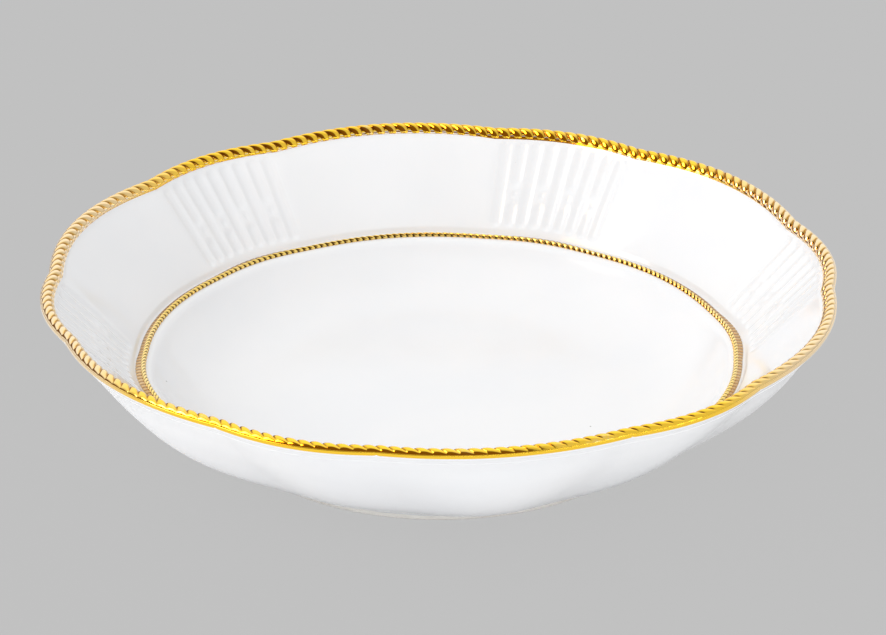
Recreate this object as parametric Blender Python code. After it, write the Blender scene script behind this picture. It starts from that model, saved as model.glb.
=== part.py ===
"""A porcelain serving bowl: a round, shallow bowl with a twelve-lobed gilded rim.

Units are metres, +Z is up, and the bowl stands on z = 0 with its axis on the Z axis. The plan repeats
every 60 degrees: a fluted panel's lobe is centred on +X, and a wider plain lobe lies between each two.
Every piece is one closed solid, and touching pieces keep a 0.3 mm gap.
"""
import math

import bmesh
import bpy

MM = 0.001

# Driving dimensions of the plan, in millimetres and degrees
REPEATS = 6
FLUTED_HALF_DEG = 12.0
PLAIN_HALF_DEG = 180.0 / REPEATS - FLUTED_HALF_DEG
RIM_RADIUS = 148.1
LOBE_DEPTH = 2.7
PLAIN_LOBE_RISE = 0.7
FLUTED_LOBE_RISE = 0.1
SEGMENTS = 120

# Driving dimensions of the section, in millimetres
LIP_TOP = 60.2
CREST = 63.1
FLOOR_TOP = 11.5
UNDERSIDE = 5.5
FOOT_RADIUS = 80.0
FOOT_WIDTH = 4.0
WELL_EDGE_RADIUS = 112.8
WELL_EDGE_Z = 29.2
GAP = 0.3
SKIN = 0.6
ROPE_HALF_WIDTH = 2.1
BAND_HALF_WIDTH = 2.5

GLAZED_WHITE = (0.86, 0.86, 0.85)
BISCUIT = (0.62, 0.55, 0.45)
GILT = (0.83, 0.56, 0.12)


def lobe_shares(angle_deg):
    """How far a direction is up the fluted lobe and the plain lobe: 1 at a lobe's middle, 0 at its ends."""
    period = 360.0 / REPEATS
    from_fluted = abs((angle_deg + period / 2) % period - period / 2)
    fluted = max(0.0, 1.0 - (from_fluted / FLUTED_HALF_DEG) ** 2)
    plain = max(0.0, 1.0 - ((period / 2 - from_fluted) / PLAIN_HALF_DEG) ** 2)
    return fluted, plain


def place(point, angle_deg):
    """World position of one section point in one direction.

    A section point is (radius, height, fluted, plain, lift): the last three say how much of the fluted
    lobes, the plain lobes and the lobes' rise that height of the wall takes.
    """
    radius, height, fluted_part, plain_part, lift = point
    fluted, plain = lobe_shares(angle_deg)
    out = radius + LOBE_DEPTH * (fluted_part * fluted + plain_part * plain)
    up = height + lift * (FLUTED_LOBE_RISE * fluted + PLAIN_LOBE_RISE * plain)
    angle = math.radians(angle_deg)
    return (out * math.cos(angle) * MM, out * math.sin(angle) * MM, up * MM)


def material(name, colour, roughness, metallic):
    """A plain Principled material."""
    made = bpy.data.materials.new(name)
    made.use_nodes = True
    shader = made.node_tree.nodes["Principled BSDF"]
    shader.inputs["Base Color"].default_value = (*colour, 1.0)
    shader.inputs["Roughness"].default_value = roughness
    shader.inputs["Metallic"].default_value = metallic
    return made


def add_object(name, mesh, surface):
    """Put a finished bmesh in the scene, faces outward and round surfaces shaded smooth."""
    bmesh.ops.recalc_face_normals(mesh, faces=mesh.faces)
    for face in mesh.faces:
        face.smooth = True
    data = bpy.data.meshes.new(name)
    mesh.to_mesh(data)
    mesh.free()
    data.set_sharp_from_angle(angle=math.radians(35))
    data.materials.append(surface)
    made = bpy.data.objects.new(name, data)
    bpy.context.scene.collection.objects.link(made)
    return made


def skin_rows(mesh, rows, closed_section):
    """Join neighbouring rows of vertices with quads, and the last to the first for a closed section."""
    pairs = list(zip(rows, rows[1:]))
    if closed_section:
        pairs.append((rows[-1], rows[0]))
    for low, high in pairs:
        for i in range(SEGMENTS):
            j = (i + 1) % SEGMENTS
            mesh.faces.new((low[i], low[j], high[j], high[i]))


def turn(name, section, surface, poles=None):
    """Carry a section once round the axis, following the lobes.

    Without poles the section is a closed outline and the piece is a ring. With poles, (first, last)
    heights on the axis, the section is open and its ends close in fans at those heights.
    """
    mesh = bmesh.new()
    rows = []
    for point in section:
        row = [mesh.verts.new(place(point, 360.0 * i / SEGMENTS)) for i in range(SEGMENTS)]
        rows.append(row)
    skin_rows(mesh, rows, closed_section=poles is None)
    if poles:
        for row, height in ((rows[0], poles[0]), (rows[-1], poles[1])):
            pole = mesh.verts.new((0.0, 0.0, height * MM))
            for i in range(SEGMENTS):
                mesh.faces.new((row[i], row[(i + 1) % SEGMENTS], pole))
    return add_object(name, mesh, surface)


def rim_point(offset, height):
    """A section point that follows the rim's lobes and rise in full."""
    return (RIM_RADIUS + offset, height, 1.0, 1.0, 1.0)


def well_point(radius, height):
    """A section point that follows the softer lobes at the edge of the well."""
    return (radius, height, 0.5, 0.0, 0.5)


def build_body():
    """Pressed porcelain wall and well, from the underside out to the lip and back to the floor."""
    ledge_end = WELL_EDGE_RADIUS + 4.4
    section = [
        (40.0, UNDERSIDE + 0.6, 0.0, 0.0, 0.0),
        (72.0, UNDERSIDE, 0.0, 0.0, 0.0),
        (84.5, UNDERSIDE, 0.0, 0.0, 0.0),
        (92.3, 8.4, 0.1, 0.3, 0.0),
        (107.2, 17.4, 0.3, 1.2, 0.0),
        (120.7, 29.4, 0.7, 1.6, 0.1),
        (134.2, 41.4, 0.9, 1.4, 0.5),
        (144.0, 50.8, 1.0, 1.1, 1.0),
        rim_point(0.4, 54.8),
        rim_point(1.8, 56.6),
        rim_point(2.4, 58.9),
        rim_point(1.6, 58.9),
        rim_point(1.6, LIP_TOP),
        rim_point(-1.6, LIP_TOP),
        rim_point(-1.6, 58.3),
        rim_point(-2.6, 58.3),
        rim_point(-3.6, 56.4),
        (131.0, 44.2, 0.8, 0.6, 0.7),
        well_point(ledge_end + 0.6, WELL_EDGE_Z + 1.6),
        well_point(ledge_end, WELL_EDGE_Z),
        well_point(WELL_EDGE_RADIUS, WELL_EDGE_Z),
        (104.5, 22.4, 0.2, 0.0, 0.0),
        (93.0, 15.6, 0.0, 0.0, 0.0),
        (78.0, 12.3, 0.0, 0.0, 0.0),
        (55.0, FLOOR_TOP, 0.0, 0.0, 0.0),
    ]
    surface = material("glazed_body", GLAZED_WHITE, 0.07, 0.0)
    return turn("bowl_body", section, surface, poles=(UNDERSIDE + 0.9, FLOOR_TOP))


def build_foot():
    """Low turned foot ring, flat under its bearing edge, tapering a little towards the table."""
    top = UNDERSIDE - GAP
    inner = FOOT_RADIUS - FOOT_WIDTH
    outline = [
        (FOOT_RADIUS - 0.5, 0.0),
        (FOOT_RADIUS, 0.6),
        (FOOT_RADIUS + 3.0, top),
        (inner - 1.6, top),
        (inner, 0.6),
        (inner + 0.5, 0.0),
    ]
    section = [(radius, height, 0.0, 0.0, 0.0) for radius, height in outline]
    return turn("foot_ring", section, material("bare_foot", BISCUIT, 0.6, 0.0))


def build_rim_band():
    """Smooth gilded fillet that saddles the lip and shows under the rope on both sides."""
    top = LIP_TOP + GAP + SKIN
    outer = BAND_HALF_WIDTH
    inside = 1.6 + GAP
    section = [
        rim_point(outer, 59.2),
        rim_point(outer - 0.1, top),
        rim_point(0.1 - outer, top),
        rim_point(-outer, 58.6),
        rim_point(-inside, 58.6),
        rim_point(-inside, LIP_TOP + GAP),
        rim_point(inside, LIP_TOP + GAP),
        rim_point(inside, 59.2),
    ]
    return turn("rim_band", section, material("gilt_rim_band", GILT, 0.15, 1.0))


def build_rim_rope():
    """Domed rope moulding along the crest of the rim."""
    base = LIP_TOP + 2 * GAP + SKIN
    half = ROPE_HALF_WIDTH
    section = [
        rim_point(half, base),
        rim_point(0.9 * half, base + 0.6 * (CREST - base)),
        rim_point(0.4 * half, CREST),
        rim_point(-0.4 * half, CREST),
        rim_point(-0.9 * half, base + 0.6 * (CREST - base)),
        rim_point(-half, base),
    ]
    return turn("rim_rope", section, material("gilt_rim_rope", GILT, 0.2, 1.0))


def build_well_band():
    """Flat gilded fillet on the ledge at the edge of the well."""
    base = WELL_EDGE_Z + GAP
    inner = WELL_EDGE_RADIUS + 2.0
    section = [
        well_point(inner, base),
        well_point(inner, base + SKIN),
        well_point(inner + 2.1, base + SKIN),
        well_point(inner + 2.1, base),
    ]
    return turn("well_band", section, material("gilt_well_band", GILT, 0.18, 1.0))


def build_well_rope():
    """Fine rope bead on the inner side of the well fillet."""
    base = WELL_EDGE_Z + GAP
    inner = WELL_EDGE_RADIUS + 0.1
    width = 1.6
    section = [
        well_point(inner, base),
        well_point(inner + 0.2, base + 0.8),
        well_point(inner + 0.5 * width, base + 1.2),
        well_point(inner + width - 0.2, base + 0.8),
        well_point(inner + width, base),
    ]
    return turn("well_rope", section, material("gilt_well_rope", GILT, 0.22, 1.0))


for old in list(bpy.data.objects):
    bpy.data.objects.remove(old)
for build in (build_body, build_foot, build_rim_band, build_rim_rope, build_well_band, build_well_rope):
    build()
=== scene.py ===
import math

import bmesh
import bpy
from mathutils import Matrix, Vector


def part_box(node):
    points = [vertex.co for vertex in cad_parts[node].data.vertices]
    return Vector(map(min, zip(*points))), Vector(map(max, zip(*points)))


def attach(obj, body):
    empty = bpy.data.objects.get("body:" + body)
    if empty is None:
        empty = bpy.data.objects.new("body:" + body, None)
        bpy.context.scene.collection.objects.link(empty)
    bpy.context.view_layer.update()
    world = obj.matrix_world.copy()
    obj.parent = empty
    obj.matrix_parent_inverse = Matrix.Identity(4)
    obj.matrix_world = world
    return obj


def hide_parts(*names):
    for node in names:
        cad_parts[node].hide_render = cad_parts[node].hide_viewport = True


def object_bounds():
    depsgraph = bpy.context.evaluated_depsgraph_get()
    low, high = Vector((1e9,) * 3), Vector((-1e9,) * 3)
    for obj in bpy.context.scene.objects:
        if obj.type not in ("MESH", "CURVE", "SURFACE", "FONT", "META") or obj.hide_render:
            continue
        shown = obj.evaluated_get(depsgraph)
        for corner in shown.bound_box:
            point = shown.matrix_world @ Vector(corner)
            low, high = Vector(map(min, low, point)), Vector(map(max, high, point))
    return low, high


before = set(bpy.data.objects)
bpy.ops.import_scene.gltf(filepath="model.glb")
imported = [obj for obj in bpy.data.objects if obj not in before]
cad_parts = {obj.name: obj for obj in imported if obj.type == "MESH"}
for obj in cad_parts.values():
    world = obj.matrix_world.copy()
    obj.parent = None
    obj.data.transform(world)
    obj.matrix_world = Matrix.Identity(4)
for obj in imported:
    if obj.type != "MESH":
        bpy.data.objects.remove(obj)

cad_low, cad_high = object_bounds()
MM = 0.001

# ------------------------------------------------------------------------------------------------
# Bowl body. Hard white porcelain pressed over a turning mould: a dished well, a flaring wall in
# twelve lobes, and six panels of shallow flutes pressed into the inside of the wall. Dipped in clear
# glaze all over. The section below is carried once round the axis by a rule of lobes and flutes.
# ------------------------------------------------------------------------------------------------
PERIOD = 60.0
FLUTED_HALF = 12.0
PLAIN_HALF = PERIOD / 2 - FLUTED_HALF
LOBE_DEPTH = 2.7 * MM
PLAIN_RISE = 0.7 * MM
FLUTED_RISE = 0.1 * MM
LIP_HALF_WIDTH = 2.35
SEAM = 0.001 * MM
EMPTY_FACE = 1e-14
OFF_WALL = -1000.0  # distance down the fluted wall for rows that aren't on it, in millimetres

rim_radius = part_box("rim_band")[1].x / MM - LOBE_DEPTH / MM - 2.5
well_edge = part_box("well_rope")[0].z / MM - 0.3
foot_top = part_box("bowl_body")[0].z / MM


class Field:
    """A number worked out at every point of a node tree, so that a rule reads as plain arithmetic."""

    def __init__(self, tree, socket):
        self.tree = tree
        self.socket = socket

    def math(self, operation, *others):
        node = self.tree.nodes.new("ShaderNodeMath")
        node.operation = operation
        for slot, value in zip(node.inputs, (self, *others)):
            if isinstance(value, Field):
                self.tree.links.new(value.socket, slot)
            else:
                slot.default_value = value
        return Field(self.tree, node.outputs[0])

    def __add__(self, other):
        return self.math("ADD", other)

    def __sub__(self, other):
        return self.math("SUBTRACT", other)

    def __mul__(self, other):
        return self.math("MULTIPLY", other)

    def __truediv__(self, other):
        return self.math("DIVIDE", other)

    def __pow__(self, other):
        return self.math("POWER", other)

    def __neg__(self):
        return self.math("MULTIPLY", -1.0)

    __radd__ = __add__
    __rmul__ = __mul__

    def __rsub__(self, other):
        return -self + other

    def at_least(self, other):
        return self.math("MAXIMUM", other)

    def at_most(self, other):
        return self.math("MINIMUM", other)


def smooth_rows(points, count):
    """Rows of a section on a smooth curve through a few points, evenly spread; the last is left out."""
    rows = []
    spans = len(points) - 1
    for i in range(count):
        place = i / count * spans
        k = min(int(place), spans - 1)
        t = place - k
        before, start, end, after = (points[max(0, min(spans, k + step))] for step in (-1, 0, 1, 2))
        rows.append(tuple(
            0.5 * (2 * b + (c - a) * t + (2 * a - 5 * b + 4 * c - d) * t * t
                   + (3 * b - a - 3 * c + d) * t ** 3)
            for a, b, c, d in zip(before, start, end, after)))
    return rows


def new_node(tree, kind, **sockets):
    """Add a node and fill or link its inputs by name."""
    node = tree.nodes.new(kind)
    for name, value in sockets.items():
        slot = node.inputs[name.replace("_", " ")]
        if isinstance(value, Field):
            tree.links.new(value.socket, slot)
        elif isinstance(value, bpy.types.NodeSocket):
            tree.links.new(value, slot)
        else:
            slot.default_value = value
    return node


def turned_piece(name, rows, columns, sizes, rule, surface):
    """Carry a section round the axis in Geometry Nodes and return the finished piece.

    rows holds (radius, height, fluted, plain, lift, down) in millimetres: how much of the fluted lobes,
    the plain lobes and their rise a row takes, and its distance down the piece. rule(here, size) gets
    the fields of a point and the named sizes, and returns its angle in degrees, its move out, its
    move up, and a mask that is stored as the attribute "relief".
    """
    line = bpy.data.meshes.new(name)
    line.from_pydata([(row[0] * MM, 0.0, row[1] * MM) for row in rows], [], [])
    line.attributes.new("share", "FLOAT_VECTOR", "POINT")
    line.attributes.new("down", "FLOAT", "POINT")
    for i, row in enumerate(rows):
        line.attributes["share"].data[i].vector = row[2:5]
        line.attributes["down"].data[i].value = row[5] * MM
    piece = bpy.data.objects.new(name, line)
    bpy.context.scene.collection.objects.link(piece)

    tree = bpy.data.node_groups.new(name + "_rule", "GeometryNodeTree")
    tree.interface.new_socket("Section", in_out="INPUT", socket_type="NodeSocketGeometry")
    for label in sizes:
        tree.interface.new_socket(label, in_out="INPUT", socket_type="NodeSocketFloat")
    tree.interface.new_socket("Piece", in_out="OUTPUT", socket_type="NodeSocketGeometry")
    given = tree.nodes.new("NodeGroupInput")
    size = {label: Field(tree, given.outputs[label]) for label in sizes}

    grid = new_node(tree, "GeometryNodeMeshGrid", Vertices_X=len(rows), Vertices_Y=columns + 1)
    index = Field(tree, tree.nodes.new("GeometryNodeInputIndex").outputs[0])
    row_at = ((index + 0.5) / (columns + 1)).math("FLOOR")
    column = index - row_at * (columns + 1)

    def from_section(kind, attribute=None):
        sample = tree.nodes.new("GeometryNodeSampleIndex")
        sample.data_type = kind
        if attribute:
            source = tree.nodes.new("GeometryNodeInputNamedAttribute")
            source.data_type = kind
            source.inputs["Name"].default_value = attribute
        else:
            source = tree.nodes.new("GeometryNodeInputPosition")
        tree.links.new(given.outputs["Section"], sample.inputs["Geometry"])
        tree.links.new(source.outputs[0], sample.inputs["Value"])
        tree.links.new((row_at + 0.25).socket, sample.inputs["Index"])
        return sample.outputs[0]

    def parts_of(vector):
        split = new_node(tree, "ShaderNodeSeparateXYZ", Vector=vector)
        return [Field(tree, out) for out in split.outputs]

    radius, _, height = parts_of(from_section("FLOAT_VECTOR"))
    take_fluted, take_plain, take_lift = parts_of(from_section("FLOAT_VECTOR", "share"))
    here = {"column": column, "row": row_at, "radius": radius, "height": height, "tree": tree,
            "down": Field(tree, from_section("FLOAT", "down"))}
    degrees, move_out, move_up, relief = rule(here, size)

    across = (degrees.math("WRAP", PERIOD / 2, -PERIOD / 2)).math("ABSOLUTE")
    soften = 2.2 - take_lift
    fluted = (1.0 - (across / FLUTED_HALF) ** 2.0).at_least(0.0) ** soften
    plain = (1.0 - ((PERIOD / 2 - across) / PLAIN_HALF) ** 2.0).at_least(0.0) ** soften
    out = radius + size["Lobe depth"] * (take_fluted * fluted + take_plain * plain) + move_out
    up = height + take_lift * (size["Plain rise"] * plain + size["Fluted rise"] * fluted) + move_up
    turn = degrees.math("RADIANS")
    east = out * turn.math("COSINE")
    north = out * turn.math("SINE")
    place = new_node(tree, "ShaderNodeCombineXYZ", X=east, Y=north, Z=up)

    moved = new_node(tree, "GeometryNodeSetPosition", Geometry=grid.outputs[0], Position=place.outputs[0])
    stored = new_node(tree, "GeometryNodeStoreNamedAttribute", Geometry=moved.outputs[0], Name="relief",
                      Value=relief)
    merged = new_node(tree, "GeometryNodeMergeByDistance", Geometry=stored.outputs[0], Distance=SEAM)
    whole = new_node(tree, "GeometryNodeRealizeInstances", Geometry=merged.outputs[0])
    dressed = new_node(tree, "GeometryNodeSetMaterial", Geometry=whole.outputs[0], Material=surface)
    tree.links.new(dressed.outputs[0], tree.nodes.new("NodeGroupOutput").inputs["Piece"])

    turning = piece.modifiers.new("turned", "NODES")
    turning.node_group = tree
    for item in tree.interface.items_tree:
        if item.name in sizes:
            turning[item.identifier] = float(sizes[item.name])
    evaluated = piece.evaluated_get(bpy.context.evaluated_depsgraph_get())
    solid = bpy.data.meshes.new_from_object(evaluated)
    piece.modifiers.clear()
    piece.data = solid
    solid.name = name

    shell = bmesh.new()
    shell.from_mesh(solid)
    flat = [face for face in shell.faces if face.calc_area() < EMPTY_FACE]
    bmesh.ops.delete(shell, geom=flat, context="FACES")
    bmesh.ops.recalc_face_normals(shell, faces=shell.faces)
    for face in shell.faces:
        face.smooth = True
    shell.to_mesh(solid)
    shell.free()
    return piece


def principled(name):
    """A new material, its node tree and its Principled shader."""
    made = bpy.data.materials.new(name)
    made.use_nodes = True
    tree = made.node_tree
    shader = tree.nodes["Principled BSDF"]
    return made, tree, shader


LOBES = {"Lobe depth": LOBE_DEPTH, "Plain rise": PLAIN_RISE, "Fluted rise": FLUTED_RISE}
FLUTE_COUNT = 9
FLUTE_FIELD_HALF = 11.2
FLUTE_COLUMNS = 12
PLAIN_COLUMNS = 28
BODY_COLUMNS = 6 * (FLUTE_COUNT * FLUTE_COLUMNS + PLAIN_COLUMNS)
PRESSED_OUT, PRESSED_DOWN = 0.7, 0.71  # the way a flute sinks, square to the wall


def lip_inside(drop):
    """How far inside the lip's middle the inner face stands, this many millimetres below its edge."""
    return LIP_HALF_WIDTH + 0.55 * drop + 0.09 * drop * drop


def round_row(radius, height):
    """A section row that is a plain circle."""
    return (radius, height, 0.0, 0.0, 0.0, OFF_WALL)


def rim_row(offset, height, down=OFF_WALL):
    """A section row that follows the rim's lobes in full."""
    return (rim_radius + offset, height, 1.0, 1.0, 1.0, down)


def well_row(radius, height, down=OFF_WALL):
    """A section row that follows the softer lobes at the edge of the well."""
    return (radius, height, 0.3, 0.0, 0.5, down)


LIP_EDGE = 60.3
WALL_TOP_DROP = 2.0
inside_wall_top = rim_row(-lip_inside(WALL_TOP_DROP), LIP_EDGE - WALL_TOP_DROP, 0.0)
underside = [
    round_row(6.0, foot_top + 0.9),
    round_row(40.0, foot_top + 0.7),
    round_row(74.0, foot_top),
    round_row(84.0, foot_top),
]
outer_wall = [
    underside[-1],
    (94.0, 8.7, 0.25, 0.8, 0.0, OFF_WALL),
    (108.4, 17.6, 0.5, 1.6, 0.0, OFF_WALL),
    (122.2, 29.4, 0.9, 2.1, 0.1, OFF_WALL),
    (134.5, 41.4, 0.95, 1.65, 0.5, OFF_WALL),
    (142.4, 50.4, 1.0, 1.1, 0.9, OFF_WALL),
    (145.9, 54.6, 1.0, 1.0, 1.0, OFF_WALL),
    (147.3, 56.3, 1.0, 1.0, 1.0, OFF_WALL),
]
collar = [
    outer_wall[-1],
    rim_row(-0.78, 56.6),
    rim_row(-0.42, 56.9),
    rim_row(0.35, 57.8),
    rim_row(LIP_HALF_WIDTH, 59.9),
]
lip = [
    collar[-1],
    rim_row(2.1, 60.8),
    rim_row(0.0, 61.2),
    rim_row(-2.0, 60.9),
    rim_row(-LIP_HALF_WIDTH, LIP_EDGE),
]
inner_lip = [
    rim_row(-lip_inside(drop), LIP_EDGE - drop)
    for drop in (0.0, 0.5, 1.0, 1.5)
] + [inside_wall_top]
inner_wall = [
    inside_wall_top,
    (139.6, 53.6, 0.97, 0.9, 0.95, 6.6),
    (130.6, 44.3, 0.8, 0.6, 0.7, 19.5),
    (123.0, 36.2, 0.6, 0.2, 0.5, 30.6),
    (118.2, 31.2, 0.5, 0.0, 0.5, 37.5),
]
ledge = [
    inner_wall[-1],
    well_row(117.5, 30.0),
    well_row(116.4, well_edge),
    well_row(112.8, well_edge - 0.1),
    well_row(110.6, well_edge - 0.9),
]
well = [
    ledge[-1],
    (104.5, 22.6, 0.2, 0.0, 0.0, OFF_WALL),
    round_row(93.0, 15.7),
    round_row(78.0, 12.4),
    round_row(55.0, 11.55),
    round_row(30.0, 11.5),
    round_row(6.0, 11.5),
    round_row(0.0, 11.5),
]
stretches = ((underside, 8), (outer_wall, 24), (collar, 8), (lip, 6), (inner_lip, 5), (inner_wall, 38),
             (ledge, 8))
body_rows = [round_row(0.0, foot_top + 0.9)]
for stretch, count in stretches:
    body_rows += smooth_rows(stretch, count)
body_rows += smooth_rows(well, 21)[:-3] + well[-2:]  # the pole's fan starts 6 mm from the axis


def fluted_wall(here, size):
    """Nine flutes across each fluted panel; every second one is broken half way down by a round knot."""
    per_period = FLUTE_COUNT * FLUTE_COLUMNS + PLAIN_COLUMNS
    repeat = (here["column"] / per_period + 0.0001).math("FLOOR")
    within = here["column"] - repeat * per_period
    dense = FLUTE_COUNT * FLUTE_COLUMNS
    in_field = within.at_most(dense) * (2.0 * FLUTE_FIELD_HALF / dense)
    in_plain = (within - dense).at_least(0.0) * ((PERIOD - 2.0 * FLUTE_FIELD_HALF) / PLAIN_COLUMNS)
    degrees = repeat * PERIOD - FLUTE_FIELD_HALF + in_field + in_plain

    flute = (within / FLUTE_COLUMNS).math("FLOOR")
    pitch = here["radius"] * math.radians(2.0 * FLUTE_FIELD_HALF / FLUTE_COUNT)
    side = (within / FLUTE_COLUMNS - flute - 0.5) * pitch
    half = (pitch * size["Flute fullness"] * 0.5).at_least(0.05 * MM)
    down = here["down"]

    def past(top, bottom):
        return (top - down).at_least(down - bottom).at_least(0.0)

    def hollow(sideways, beyond, reach):
        share = (1.0 - (sideways * sideways + beyond * beyond) / (reach * reach)).at_least(0.0)
        return share ** 1.3

    top = size["Flute top"] + half
    bottom = size["Flute bottom"] - half
    whole = past(top, bottom)
    broken = past(top, size["Break top"] - half).at_most(past(size["Break bottom"] + half, bottom))
    every_second = flute.math("MODULO", 2.0)
    beyond = whole + (broken - whole) * every_second
    knot = hollow(side, down - size["Knot place"], size["Knot radius"]) * every_second
    on_field = within.math("LESS_THAN", dense + 0.5)
    depth = hollow(side, beyond, half) * size["Flute depth"] + knot * size["Knot depth"]
    depth = depth * on_field
    return degrees, depth * PRESSED_OUT, depth * -PRESSED_DOWN, depth / size["Flute depth"]


def shade_node(tree, kind, settings=None, **sockets):
    """Add a shader node with its settings, and fill or link its inputs by name."""
    node = new_node(tree, kind, **sockets)
    for label, value in (settings or {}).items():
        setattr(node, label, value)
    return node


def grade(tree, value, low, high, to_low=0.0, to_high=1.0):
    """Map a value smoothly from one range to another."""
    node = tree.nodes.new("ShaderNodeMapRange")
    node.interpolation_type = "SMOOTHSTEP"
    tree.links.new(value, node.inputs["Value"])
    for label, number in (("From Min", low), ("From Max", high), ("To Min", to_low), ("To Max", to_high)):
        node.inputs[label].default_value = number
    return node.outputs["Result"]


def blend(tree, share, first, second):
    """Mix two colours, each a socket or a plain colour."""
    node = tree.nodes.new("ShaderNodeMix")
    node.data_type = "RGBA"
    slots = (node.inputs[0], node.inputs[6], node.inputs[7])
    for slot, value in zip(slots, (share, first, second)):
        if isinstance(value, bpy.types.NodeSocket):
            tree.links.new(value, slot)
        elif isinstance(value, tuple):
            slot.default_value = (*value, 1.0)
        else:
            slot.default_value = value
    return node.outputs[2]


def kiln_faults_group():
    """Shared faults of a fired surface: rare pin-points and a slow drift of tone."""
    tree = bpy.data.node_groups.new("kiln_faults", "ShaderNodeTree")
    tree.interface.new_socket("Speck Scale", in_out="INPUT", socket_type="NodeSocketFloat")
    tree.interface.new_socket("Drift Scale", in_out="INPUT", socket_type="NodeSocketFloat")
    tree.interface.new_socket("Specks", in_out="OUTPUT", socket_type="NodeSocketFloat")
    tree.interface.new_socket("Drift", in_out="OUTPUT", socket_type="NodeSocketFloat")
    given = tree.nodes.new("NodeGroupInput")
    put_out = tree.nodes.new("NodeGroupOutput")
    where = tree.nodes.new("ShaderNodeTexCoord").outputs["Object"]
    cells = shade_node(tree, "ShaderNodeTexVoronoi", Vector=where)
    tree.links.new(given.outputs["Speck Scale"], cells.inputs["Scale"])
    lot = new_node(tree, "ShaderNodeSeparateColor", Color=cells.outputs["Color"]).outputs[0]
    chosen = grade(tree, lot, 0.955, 0.96)
    dot = grade(tree, cells.outputs["Distance"], 0.015, 0.045, 1.0, 0.0)
    both = Field(tree, chosen) * Field(tree, dot)
    drift = new_node(tree, "ShaderNodeTexNoise", Vector=where, Detail=3.0, Roughness=0.6)
    tree.links.new(given.outputs["Drift Scale"], drift.inputs["Scale"])
    tree.links.new(both.socket, put_out.inputs["Specks"])
    tree.links.new(drift.outputs["Fac"], put_out.inputs["Drift"])
    return tree


kiln_faults = kiln_faults_group()


def placed_group(tree, group, **sockets):
    """Place a shader node group in a material with its own values."""
    node = tree.nodes.new("ShaderNodeGroup")
    node.node_tree = group
    for name, value in sockets.items():
        node.inputs[name.replace("_", " ")].default_value = value
    return node


glaze, glaze_tree, glaze_shader = principled("clear_glazed_porcelain")
faults = placed_group(glaze_tree, kiln_faults, Speck_Scale=95.0, Drift_Scale=14.0)
relief = shade_node(glaze_tree, "ShaderNodeAttribute", {"attribute_name": "relief"})
drifting = grade(glaze_tree, faults.outputs["Drift"], 0.35, 0.65)
tone = blend(glaze_tree, drifting, (0.86, 0.868, 0.885), (0.885, 0.888, 0.898))
# Glaze pooling and painted shade: the glaze is tinted a cooler, darker white the deeper a flute is pressed.
flute_pool_and_shade = grade(glaze_tree, relief.outputs["Fac"], 0.1, 1.0, 0.0, 0.1)
pooled_and_shaded = blend(glaze_tree, flute_pool_and_shade, tone, (0.80, 0.815, 0.825))
specked = blend(glaze_tree, faults.outputs["Specks"], pooled_and_shaded, (0.30, 0.28, 0.26))
glaze_tree.links.new(specked, glaze_shader.inputs["Base Color"])
where = glaze_tree.nodes.new("ShaderNodeTexCoord").outputs["Object"]
wipe = new_node(glaze_tree, "ShaderNodeTexNoise", Vector=where, Scale=30.0, Detail=5.0, Roughness=0.65)
glaze_polish = grade(glaze_tree, wipe.outputs["Fac"], 0.3, 0.75, 0.10, 0.19)
glaze_tree.links.new(glaze_polish, glaze_shader.inputs["Roughness"])
peel = new_node(glaze_tree, "ShaderNodeTexNoise", Vector=where, Scale=160.0, Detail=2.0)
settle = new_node(glaze_tree, "ShaderNodeTexNoise", Vector=where, Scale=22.0, Detail=1.0)
skin_height = Field(glaze_tree, settle.outputs["Fac"]) * 4.0 + Field(glaze_tree, peel.outputs["Fac"]) * 0.35
surface_bump = new_node(glaze_tree, "ShaderNodeBump", Strength=0.35, Distance=0.00012, Height=skin_height)
glaze_tree.links.new(surface_bump.outputs[0], glaze_shader.inputs["Normal"])
glaze_shader.inputs["IOR"].default_value = 1.5

flute_sizes = {
    "Flute fullness": 0.97,
    "Flute depth": 0.65 * MM,
    "Flute top": -0.8 * MM,
    "Flute bottom": 36.6 * MM,
    "Break top": 19.6 * MM,
    "Break bottom": 25.2 * MM,
    "Knot place": 22.4 * MM,
    "Knot radius": 1.5 * MM,
    "Knot depth": 0.4 * MM,
}
body = turned_piece("glazed_bowl_body", body_rows, BODY_COLUMNS, {**LOBES, **flute_sizes}, fluted_wall, glaze)
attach(body, "root")
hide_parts("bowl_body")

# ------------------------------------------------------------------------------------------------
# Foot ring. Turned from the same clay and luted under the well before firing. Glazed down its sides,
# wiped bare round its bearing edge, where the unglazed clay has taken up a little buff stain.
# ------------------------------------------------------------------------------------------------
foot_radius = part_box("foot_ring")[1].x / MM - 3.0
FOOT_WIDTH = 4.0
foot_inner = foot_radius - FOOT_WIDTH
foot_side = [
    round_row(foot_radius + 3.9, foot_top + 0.05),
    round_row(foot_radius + 3.1, foot_top - 1.2),
    round_row(foot_radius + 2.3, 2.4),
    round_row(foot_radius + 1.9, 0.7),
    round_row(foot_radius + 1.4, 0.0),
]
foot_sole = [
    foot_side[-1],
    round_row(foot_radius - FOOT_WIDTH / 2, 0.0),
    round_row(foot_inner + 0.5, 0.0),
]
foot_inside = [
    foot_sole[-1],
    round_row(foot_inner - 0.1, 0.7),
    round_row(foot_inner - 0.6, 2.4),
    round_row(foot_inner - 1.6, foot_top + 0.05),
    round_row(foot_inner - 1.6, foot_top + 0.15),
    round_row(foot_radius + 3.9, foot_top + 0.15),
    foot_side[0],
]
FOOT_COLUMNS = 360
foot_rows = (smooth_rows(foot_side, 12) + smooth_rows(foot_sole, 3) + foot_inside[:1]
             + smooth_rows(foot_inside[:4], 8)[1:] + foot_inside[3:])


def plain_turning(here, size):
    """No rule but the turning itself."""
    nothing = here["row"] * 0.0
    return here["column"] * (360.0 / FOOT_COLUMNS), nothing, nothing, nothing


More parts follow.
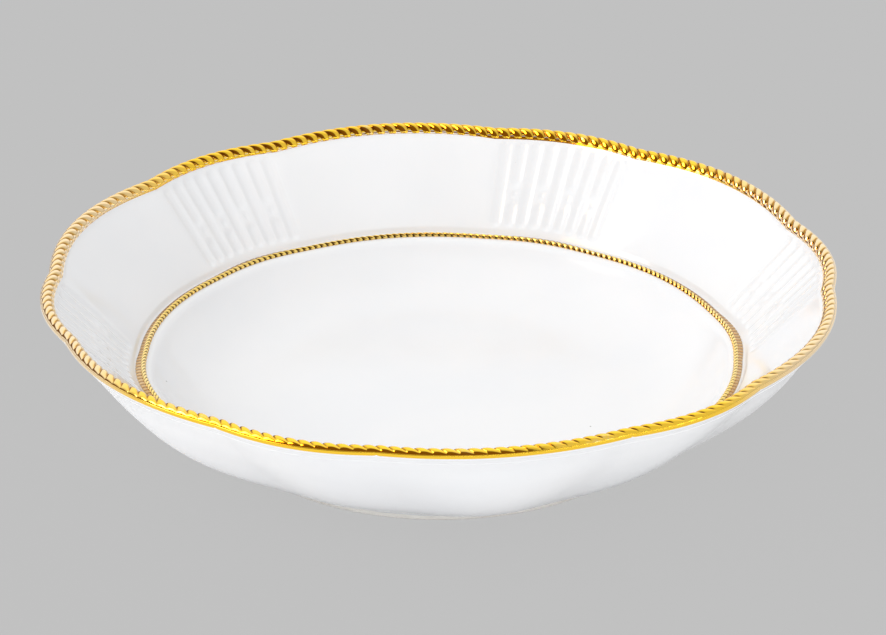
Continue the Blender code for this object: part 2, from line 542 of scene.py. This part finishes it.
biscuit, biscuit_tree, biscuit_shader = principled("foot_glaze_and_bare_edge")
foot_faults = placed_group(biscuit_tree, kiln_faults, Speck_Scale=420.0, Drift_Scale=60.0)
foot_where = biscuit_tree.nodes.new("ShaderNodeTexCoord").outputs["Object"]
foot_height = new_node(biscuit_tree, "ShaderNodeSeparateXYZ", Vector=foot_where).outputs["Z"]
ragged = new_node(biscuit_tree, "ShaderNodeTexNoise", Vector=foot_where, Scale=90.0, Detail=4.0)
wander = (Field(biscuit_tree, ragged.outputs["Fac"]) - 0.5) * (0.7 * MM)
wiped_line = Field(biscuit_tree, foot_height) - wander
bare = grade(biscuit_tree, wiped_line.socket, 1.95 * MM, 2.15 * MM, 1.0, 0.0)
stain = grade(biscuit_tree, foot_faults.outputs["Drift"], 0.3, 0.7)
clay = blend(biscuit_tree, stain, (0.88, 0.845, 0.79), (0.93, 0.905, 0.86))
clay = blend(biscuit_tree, foot_faults.outputs["Specks"], clay, (0.20, 0.16, 0.12))
foot_tone = blend(biscuit_tree, bare, (0.80, 0.815, 0.83), clay)
edge_of_glaze = grade(biscuit_tree, wiped_line.socket, 1.9 * MM, 2.2 * MM, 0.0, 1.0)
biscuit_tree.links.new(foot_tone, biscuit_shader.inputs["Base Color"])
foot_polish = grade(biscuit_tree, bare, 0.0, 1.0, 0.08, 0.75)
biscuit_tree.links.new(foot_polish, biscuit_shader.inputs["Roughness"])
grit = new_node(biscuit_tree, "ShaderNodeTexNoise", Vector=foot_where, Scale=1400.0, Detail=4.0)
gritty = Field(biscuit_tree, grit.outputs["Fac"]) * Field(biscuit_tree, bare) * 0.4
rough_height = gritty + Field(biscuit_tree, edge_of_glaze)
grain = new_node(biscuit_tree, "ShaderNodeBump", Strength=0.5, Distance=0.0002, Height=rough_height)
biscuit_tree.links.new(grain.outputs[0], biscuit_shader.inputs["Normal"])

foot = turned_piece("turned_foot_ring", foot_rows, FOOT_COLUMNS, LOBES, plain_turning, biscuit)
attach(foot, "root")
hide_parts("foot_ring")

# ------------------------------------------------------------------------------------------------
# Rim band. Gold laid with a brush over the glazed lip and fired on: it covers the outside of the lip
# down to an even line, and the inside down to a line that wanders with the hand that drew it.
# ------------------------------------------------------------------------------------------------
RIM_COLUMNS = 1080
FILM = 0.06
# Share of a turn from +X, and how deep the gold reaches below the lip there, before "Reach" scales it
INNER_LINE = (
    (0.0, 0.35), (0.03, 0.25), (0.065, 1.2), (0.085, 1.1), (0.12, 0.9), (0.135, 0.1), (0.15, 0.8),
    (0.165, 1.5), (0.195, 1.5), (0.21, 0.2), (0.245, 0.05), (0.27, 0.35), (0.295, 0.0), (0.315, 0.9),
    (0.335, 0.35), (0.36, 0.7), (0.385, 1.2), (0.405, 0.7), (0.42, 0.1), (0.435, 0.5), (0.46, 0.1),
    (0.5, 0.1), (0.54, 0.5), (0.6, 0.6), (0.66, 0.3), (0.73, 0.35), (0.8, 0.2), (0.87, 0.7), (0.93, 0.2),
    (1.0, 0.35),
)
BACK_MARK = 10.0  # added to a row's share of the drop when it is the back of the film
band_outside = [
    rim_row(LIP_HALF_WIDTH + FILM * 0.2, 60.05, 0.0),
    rim_row(LIP_HALF_WIDTH + 0.1, 60.2, 0.0),
    rim_row(2.48, 60.75, 0.0),
    rim_row(2.47, 61.2, 0.0),
    rim_row(2.2, 61.5, 0.0),
    rim_row(0.0, 61.5, 0.0),
    rim_row(-2.1, 61.0, 0.0),
]
inside_shares = (0.0, 0.25, 0.5, 0.75, 0.94, 1.0)
band_inside = [rim_row(0.0, LIP_EDGE, share) for share in inside_shares]
band_back = [rim_row(0.0, LIP_EDGE, BACK_MARK + share) for share in (1.0, 0.5, 0.0)] + [
    rim_row(-1.7, 60.6, 0.0),
    rim_row(0.0, 60.8, 0.0),
    rim_row(1.7, 60.5, 0.0),
    rim_row(2.0, 60.1, 0.0),
]
OUTSIDE_ROWS = 14
band_rows = smooth_rows(band_outside, OUTSIDE_ROWS) + band_outside[-1:] + band_inside
band_rows += band_back + band_outside[:1]
first_inside = OUTSIDE_ROWS + 0.5
last_inside = first_inside + len(inside_shares) + 3


def brushed_line(here, size):
    """Bring the inside of the film down the lip as far as the brush went."""
    degrees = here["column"] * (360.0 / RIM_COLUMNS)
    tree = here["tree"]
    line = tree.nodes.new("ShaderNodeFloatCurve")
    curve = line.mapping.curves[0]
    line.mapping.use_clip = False
    for place, depth in INNER_LINE[1:-1]:
        curve.points.new(place, depth)
    curve.points[0].location = INNER_LINE[0]
    curve.points[-1].location = INNER_LINE[-1]
    line.mapping.update()
    tree.links.new((degrees / 360.0).socket, line.inputs["Value"])
    reach = Field(tree, line.outputs[0]) * size["Reach"]

    down = here["down"] / MM
    is_back = down.math("GREATER_THAN", BACK_MARK / 2)
    share = down - is_back * BACK_MARK
    on_inside = here["row"].math("GREATER_THAN", first_inside) * here["row"].math("LESS_THAN", last_inside)
    drop = share * (reach + 0.14)
    skin = FILM - is_back * 0.35
    edge = share.math("GREATER_THAN", 0.97) * (1.0 - is_back) * (FILM * 0.8)
    inside = (LIP_HALF_WIDTH + drop * 0.55 + drop * drop * 0.09 + skin - edge) * -MM
    return degrees, inside * on_inside, drop * on_inside * -MM, on_inside * 0.0


SIDE_SHEEN_TOWARD = (0.987, -0.162, 0.0)  # the gold takes a painted pale reflection on the two sides that lie this way from the axis


def fired_gold_group():
    """Shared look of fired gold: painted shade in the grooves, rubbed on the crests, a painted pale
    reflection on two sides.
    """
    tree = bpy.data.node_groups.new("fired_gold", "ShaderNodeTree")
    for label in ("Bright", "GrooveShade", "WornAndSheen"):
        tree.interface.new_socket(label, in_out="INPUT", socket_type="NodeSocketColor")
    for label in ("Groove Share", "Polish"):
        tree.interface.new_socket(label, in_out="INPUT", socket_type="NodeSocketFloat")
    tree.interface.new_socket("Colour", in_out="OUTPUT", socket_type="NodeSocketColor")
    for label in ("Roughness", "Height"):
        tree.interface.new_socket(label, in_out="OUTPUT", socket_type="NodeSocketFloat")
    given = tree.nodes.new("NodeGroupInput")
    put_out = tree.nodes.new("NodeGroupOutput")
    where = tree.nodes.new("ShaderNodeTexCoord").outputs["Object"]
    relief = shade_node(tree, "ShaderNodeAttribute", {"attribute_name": "relief"}).outputs["Fac"]
    patches = new_node(tree, "ShaderNodeTexNoise", Vector=where, Scale=45.0, Detail=4.0, Roughness=0.6)
    fine = new_node(tree, "ShaderNodeTexNoise", Vector=where, Scale=420.0, Detail=5.0, Roughness=0.7)
    strokes = new_node(tree, "ShaderNodeTexNoise", Vector=where, Scale=900.0, Detail=3.0)
    # Painted shade: the gold turns towards its deep colour in the grooves of the relief, where shade falls.
    groove_shade_mask = grade(tree, relief, 0.3, 0.97, 1.0, 0.0)
    groove = Field(tree, groove_shade_mask) * Field(tree, given.outputs["Groove Share"])
    base = blend(tree, groove.socket, given.outputs["Bright"], given.outputs["GrooveShade"])
    # Painted reflection: the two sides of the piece along the direction below are tinted with the pale
    # colour, as a pale surround mirrored there would look.
    sideways = shade_node(tree, "ShaderNodeVectorMath", {"operation": "DOT_PRODUCT"}, Vector=where)
    sideways.inputs[1].default_value = SIDE_SHEEN_TOWARD
    patchy = (Field(tree, patches.outputs["Fac"]) - 0.5) * 0.02
    off_axis = Field(tree, sideways.outputs["Value"]).math("ABSOLUTE") + patchy
    painted_side_sheen = Field(tree, grade(tree, off_axis.socket, 0.098, 0.138, 0.0, 0.85)) * (1.0 - groove)
    on_crest = Field(tree, grade(tree, relief, 0.6, 1.0))
    worn = Field(tree, grade(tree, patches.outputs["Fac"], 0.52, 0.72)) * on_crest
    worn = worn * Field(tree, grade(tree, fine.outputs["Fac"], 0.35, 0.65)) * 0.7
    # The pale colour stands both for real wear on the crests and for the painted reflection on two sides.
    worn_and_sheen_share = worn.at_least(painted_side_sheen)
    tree.links.new(blend(tree, worn_and_sheen_share.socket, base, given.outputs["WornAndSheen"]), put_out.inputs["Colour"])
    roughness = Field(tree, given.outputs["Polish"]) + worn * 0.1
    roughness = roughness + Field(tree, grade(tree, fine.outputs["Fac"], 0.3, 0.75, 0.0, 0.06))
    tree.links.new(roughness.socket, put_out.inputs["Roughness"])
    height = Field(tree, strokes.outputs["Fac"]) * 0.5 + Field(tree, patches.outputs["Fac"]) * 2.0
    tree.links.new(height.socket, put_out.inputs["Height"])
    return tree


fired_gold = fired_gold_group()
# Gold colours: bright; deep, used as painted shade in grooves; pale, used for wear and for a painted
# reflection on two sides.
rim_gold = {
    "Bright": (1.0, 0.63, 0.05, 1.0),
    "GrooveShade": (0.50, 0.24, 0.03, 1.0),
    "WornAndSheen": (0.86, 0.69, 0.48, 1.0),
}


def gilding(name, gold, polish, groove_share):
    """A gilded surface with its own gold, its own polish and its own share of painted shade in the grooves.
    """
    made, tree, shader = principled(name)
    shader.inputs["Metallic"].default_value = 1.0
    look = placed_group(tree, fired_gold, **gold, Polish=polish, Groove_Share=groove_share)
    tree.links.new(look.outputs["Colour"], shader.inputs["Base Color"])
    tree.links.new(look.outputs["Roughness"], shader.inputs["Roughness"])
    bump = new_node(tree, "ShaderNodeBump", Strength=0.3, Distance=0.00008, Height=look.outputs["Height"])
    tree.links.new(bump.outputs[0], shader.inputs["Normal"])
    return made


band_gilding = gilding("brushed_gilding", rim_gold, polish=0.06, groove_share=0.0)
band = turned_piece(
    "gilded_rim_band", band_rows, RIM_COLUMNS, {**LOBES, "Reach": 0.5}, brushed_line, band_gilding)
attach(band, "root")
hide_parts("rim_band")

# ------------------------------------------------------------------------------------------------
# Rim rope. A half-round moulding sprigged along the crest of the lip, tooled into slanting strands and
# gilded over. Each strand is full in the middle and pinched where it meets the next.
# ------------------------------------------------------------------------------------------------
STRANDS = 198
STRAND_COLUMNS = 8
ROPE_HALF_WIDTH = 2.38
ROPE_BASE = 60.6
rope_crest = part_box("rim_rope")[1].z / MM - PLAIN_RISE / MM


def dome_rows(radius_row, half_width, base, crest, count, sink, hang=0.0):
    """A half-round section from its inner foot, which may hang lower, to its outer foot, closed below."""
    rows = []
    for i in range(count + 1):
        turn = math.pi * (i / count - 0.5)
        side = math.sin(turn)
        inner = max(0.0, -side) ** 2
        height = base + (crest - base) * math.cos(turn) ** 0.8 - hang * inner
        rows.append(radius_row(half_width * side - 0.55 * hang * inner, height, side))
    rows.append(radius_row(half_width * 0.7, base - sink, 1.0))
    rows.append(radius_row(-half_width * 0.7, base - sink, -1.0))
    rows.append(rows[0])
    return rows


def roped(strands, columns_each, count):
    """Rule for a rope: columns lean with the strands, and each strand swells between two grooves."""
    def rule(here, size):
        strand = (here["column"] / columns_each + 0.0001).math("FLOOR")
        along = (here["column"] / columns_each - strand - 0.5) * math.pi
        share = along.math("SINE") * 0.5
        side = here["down"] / MM
        degrees = (strand + share) * (360.0 / strands) + side * size["Lean"]
        swell = (1.0 - (share * 2.0) ** 2.0 * 0.98) ** 0.5
        on_top = here["row"].math("LESS_THAN", count + 0.5)
        outward = side.at_least(0.0)
        fade = 1.0 - (outward / size["Smooth edge"]).at_most(1.0) ** 2.0
        cut = (1.0 - swell) * fade * on_top * (1.0 + (-side).at_least(0.0) * 0.4)
        return degrees, cut * side * size["Groove"] * -0.8, cut * size["Groove"] * -0.9, 1.0 - cut
    return rule


ROPE_ROWS = 14
rope_rows = dome_rows(rim_row, ROPE_HALF_WIDTH, ROPE_BASE, rope_crest, ROPE_ROWS, 0.5, hang=0.85)
# The rope's grooves take the deep colour in full, as painted shade.
rope_gilding = gilding("tooled_rope_gilding", rim_gold, polish=0.045, groove_share=1.0)
rope = turned_piece(
    "gilded_rim_rope", rope_rows, STRANDS * STRAND_COLUMNS,
    {**LOBES, "Lean": 0.8, "Groove": 1.05 * MM, "Smooth edge": 0.88},
    roped(STRANDS, STRAND_COLUMNS, ROPE_ROWS), rope_gilding)
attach(rope, "root")
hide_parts("rim_rope")

# ------------------------------------------------------------------------------------------------
# Well band. A narrow gilded fillet round the edge of the well, drawn wider under each fluted panel and
# finely ribbed on top. Its gold is browner than the rim's and rubbed by use, with painted shade between
# the ribs and a painted pale reflection on two sides.
# ------------------------------------------------------------------------------------------------
fillet_gold = {
    "Bright": (0.42, 0.21, 0.05, 1.0),
    "GrooveShade": (0.22, 0.10, 0.02, 1.0),
    "WornAndSheen": (0.88, 0.72, 0.46, 1.0),
}
fillet_inner = 114.3
well_band_rows = [
    well_row(fillet_inner, well_edge - 0.2, 0.0),
    well_row(fillet_inner, well_edge + 0.45, 1.0),
    (fillet_inner + 0.5, well_edge + 0.62, 0.38, 0.0, 0.5, 1.0),
    (fillet_inner + 1.0, well_edge + 0.6, 0.45, 0.0, 0.5, 1.0),
    (fillet_inner + 1.7, well_edge + 0.4, 0.6, 0.0, 0.5, 1.0),
    (fillet_inner + 2.0, well_edge + 0.1, 0.64, 0.0, 0.5, 0.0),
    (fillet_inner + 2.0, well_edge - 0.2, 0.64, 0.0, 0.5, 0.0),
    well_row(fillet_inner, well_edge - 0.2, 0.0),
]
BEAD_STRANDS = 276
BEAD_COLUMNS = 6


def ribbed_fillet(here, size):
    """The fillet follows the lobes, and its upper face is ticked with ribs as fine as the rope's strands."""
    place = here["column"] / BEAD_COLUMNS
    along = (place - (place + 0.0001).math("FLOOR") - 0.5) * 2.0
    top = here["down"] / MM
    cut = (1.0 - (1.0 - along ** 2.0 * 0.98) ** 0.5) * top
    degrees = place * (360.0 / BEAD_STRANDS)
    return degrees, cut * 0.0, cut * size["Rib depth"] * -1.0, 1.0 - cut


well_gilding = gilding("rubbed_fillet_gilding", fillet_gold, polish=0.12, groove_share=0.8)
fillet = turned_piece(
    "gilded_well_band", well_band_rows, BEAD_STRANDS * BEAD_COLUMNS, {**LOBES, "Rib depth": 0.28 * MM},
    ribbed_fillet, well_gilding)
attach(fillet, "root")
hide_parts("well_band")

# ------------------------------------------------------------------------------------------------
# Well rope. A fine rope bead laid on the inner side of the fillet, its strands leaning the same way
# as the rim's. Its gold is thin and paler than the rim's on the crests, and an almost black painted shade
# fills the grooves.
# ------------------------------------------------------------------------------------------------
well_gold = {
    "Bright": (1.0, 0.72, 0.20, 1.0),
    "GrooveShade": (0.07, 0.03, 0.006, 1.0),
    "WornAndSheen": (0.92, 0.80, 0.56, 1.0),
}
BEAD_ROWS = 6
BEAD_HALF_WIDTH = 1.05
bead_middle = 113.85


def bead_row(offset, height, side):
    """A section row of the fine rope."""
    return well_row(bead_middle + offset, height, side)


bead_rows = dome_rows(bead_row, BEAD_HALF_WIDTH, well_edge + 0.1, well_edge + 1.45, BEAD_ROWS, 0.3)
bead_gilding = gilding("fine_rope_gilding", well_gold, polish=0.06, groove_share=1.0)
bead = turned_piece(
    "gilded_well_rope", bead_rows, BEAD_STRANDS * BEAD_COLUMNS,
    {**LOBES, "Lean": 0.6, "Groove": 0.65 * MM, "Smooth edge": 1.3},
    roped(BEAD_STRANDS, BEAD_COLUMNS, BEAD_ROWS), bead_gilding)
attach(bead, "root")
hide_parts("well_rope")

# ------------------------------------------------------------------------------------------------
# Studio. A plain pale floor that the camera sees as nearly flat grey, a soft box to the left, a long low
# one in front, and a sky. Mirrored, the sky is bright overhead, warm and dark near the horizon and behind
# the camera, and has one lamp. As scattered light it is soft, and stronger from the front left.
# ------------------------------------------------------------------------------------------------
floor_mesh = bpy.data.meshes.new("floor")
floor_mesh.from_pydata([(-6, -6, 0), (6, -6, 0), (6, 6, 0), (-6, 6, 0)], [], [(0, 1, 2, 3)])
floor = bpy.data.objects.new("floor", floor_mesh)
bpy.context.scene.collection.objects.link(floor)
floor_surface, floor_tree, floor_shader = principled("pale_floor")
floor_shader.inputs["Base Color"].default_value = (0.88, 0.88, 0.88, 1.0)
floor_shader.inputs["Roughness"].default_value = 0.9
floor_shader.inputs["Specular IOR Level"].default_value = 0.0
seen_floor = shade_node(floor_tree, "ShaderNodeEmission", Color=(0.522, 0.522, 0.522, 1.0), Strength=1.0)
seen_directly = floor_tree.nodes.new("ShaderNodeLightPath").outputs["Is Camera Ray"]
seen_share = Field(floor_tree, seen_directly) * 0.97
lit_or_seen = new_node(floor_tree, "ShaderNodeMixShader", Fac=seen_share)
floor_tree.links.new(floor_shader.outputs[0], lit_or_seen.inputs[1])
floor_tree.links.new(seen_floor.outputs[0], lit_or_seen.inputs[2])
floor_tree.links.new(lit_or_seen.outputs[0], floor_tree.nodes["Material Output"].inputs["Surface"])
floor_mesh.materials.append(floor_surface)

azimuth = math.radians(-9.3)
elevation = math.radians(24.45)
picture_right = Vector((math.cos(azimuth), math.sin(azimuth), 0.0))
toward_camera = Vector((math.sin(azimuth), -math.cos(azimuth), 0.0))
brightest = (picture_right * -0.68 + toward_camera * 0.64 + Vector((0.0, 0.0, 0.3))).normalized()

sky = bpy.data.worlds.new("studio_sky")
sky.use_nodes = True
sky_tree = sky.node_tree
looking = sky_tree.nodes.new("ShaderNodeTexCoord").outputs["Generated"]
upward = new_node(sky_tree, "ShaderNodeSeparateXYZ", Vector=looking).outputs["Z"]


def facing_share(direction, far, near):
    """How nearly a direction of the sky points one way: 0 beyond the far angle, 1 within the near one."""
    dot = new_node(sky_tree, "ShaderNodeVectorMath", Vector=looking)
    dot.operation = "DOT_PRODUCT"
    dot.inputs[1].default_value = direction.normalized()
    edge, full = math.cos(math.radians(far)), math.cos(math.radians(near))
    return grade(sky_tree, dot.outputs["Value"], edge, full)


pale_wall = Field(sky_tree, facing_share(picture_right * 0.9 - toward_camera * 0.4, 100.0, 55.0))
raised = pale_wall * 0.3 + Field(sky_tree, upward)
dome = Field(sky_tree, grade(sky_tree, raised.socket, 0.23, 0.42))
far_side = picture_right * -0.1 - toward_camera * 0.8 + Vector((0.0, 0.0, 0.6))
back_panel = Field(sky_tree, facing_share(far_side, 62.0, 30.0))
behind = toward_camera * 0.82 - picture_right * 0.38 + Vector((0.0, 0.0, 0.42))
room_behind = 1.0 - Field(sky_tree, facing_share(behind, 58.0, 40.0))
structure = dome * room_behind * (back_panel * 0.45 + 0.78)
lamp_panel = toward_camera * 0.28 - picture_right * 0.77 + Vector((0.0, 0.0, 0.574))
mirrored = structure.at_least(0.2) + Field(sky_tree, facing_share(lamp_panel, 20.0, 16.0)) * 7.0
leaning = shade_node(sky_tree, "ShaderNodeVectorMath", {"operation": "DOT_PRODUCT"}, Vector=looking)
leaning.inputs[1].default_value = brightest
scattered = Field(sky_tree, leaning.outputs["Value"]) * 0.40 + 0.89
is_scattered = Field(sky_tree, sky_tree.nodes.new("ShaderNodeLightPath").outputs["Is Diffuse Ray"])
glow = mirrored + (scattered - mirrored) * is_scattered
backdrop = sky_tree.nodes["Background"]
sky_tree.links.new(glow.socket, backdrop.inputs["Strength"])
lit_share = (structure * 2.5 + is_scattered).at_most(1.0)
sky_colour = blend(sky_tree, lit_share.socket, (1.0, 0.5, 0.14), (1.0, 1.0, 1.0))
sky_tree.links.new(sky_colour, backdrop.inputs["Color"])
sky.cycles.sampling_method = "NONE"  # so that every sky ray tells mirrored light from scattered light
bpy.context.scene.world = sky


def soft_box(name, place, target, width, height, power, colour):
    """A rectangular soft light pointed at a place."""
    lamp = bpy.data.lights.new(name, "AREA")
    lamp.shape = "RECTANGLE"
    lamp.size, lamp.size_y = width, height
    lamp.energy = power
    lamp.color = colour
    holder = bpy.data.objects.new(name, lamp)
    holder.location = place
    holder.rotation_euler = (Vector(target) - Vector(place)).to_track_quat("-Z", "Y").to_euler()
    bpy.context.scene.collection.objects.link(holder)
    return holder


middle = Vector((0.0, 0.0, cad_high.z / 2))
low_place = toward_camera * 1.4 + picture_right * 0.85 + Vector((0.0, 0.0, 0.07))
soft_box("low_front_box", low_place, middle, 2.6, 0.12, 5.0, (0.95, 0.97, 1.0))
key_place = toward_camera * 0.5 - picture_right * 1.25 + Vector((0.0, 0.0, 0.95))
soft_box("left_soft_box", key_place, middle, 0.6, 0.6, 3.0, (1.0, 1.0, 1.0))

# Camera: a long lens two metres off, 24 degrees above the rim. It looks across the bowl, with two fluted
# panels near its sides, 9 degrees off square.
CAMERA_DISTANCE = 1.978
lens = bpy.data.cameras.new("camera")
lens.sensor_width = 36.0
lens.lens = 209.9
lens.clip_start, lens.clip_end = 0.05, 50.0
camera = bpy.data.objects.new("camera", lens)
bpy.context.scene.collection.objects.link(camera)
aimed_at = Vector((0.0, 0.0, 61.4 * MM))
line_of_sight = toward_camera * math.cos(elevation) + Vector((0.0, 0.0, math.sin(elevation)))
pose = Matrix.Translation(aimed_at + line_of_sight * CAMERA_DISTANCE)
pose = pose @ Matrix.Rotation(azimuth, 4, "Z") @ Matrix.Rotation(math.pi / 2 - elevation, 4, "X")
for turn, axis in ((-0.416, "X"), (-0.028, "Y"), (0.066, "Z")):
    pose = pose @ Matrix.Rotation(math.radians(turn), 4, axis)
camera.matrix_world = pose
bpy.context.scene.camera = camera
bpy.context.scene.view_settings.view_transform = "Standard"
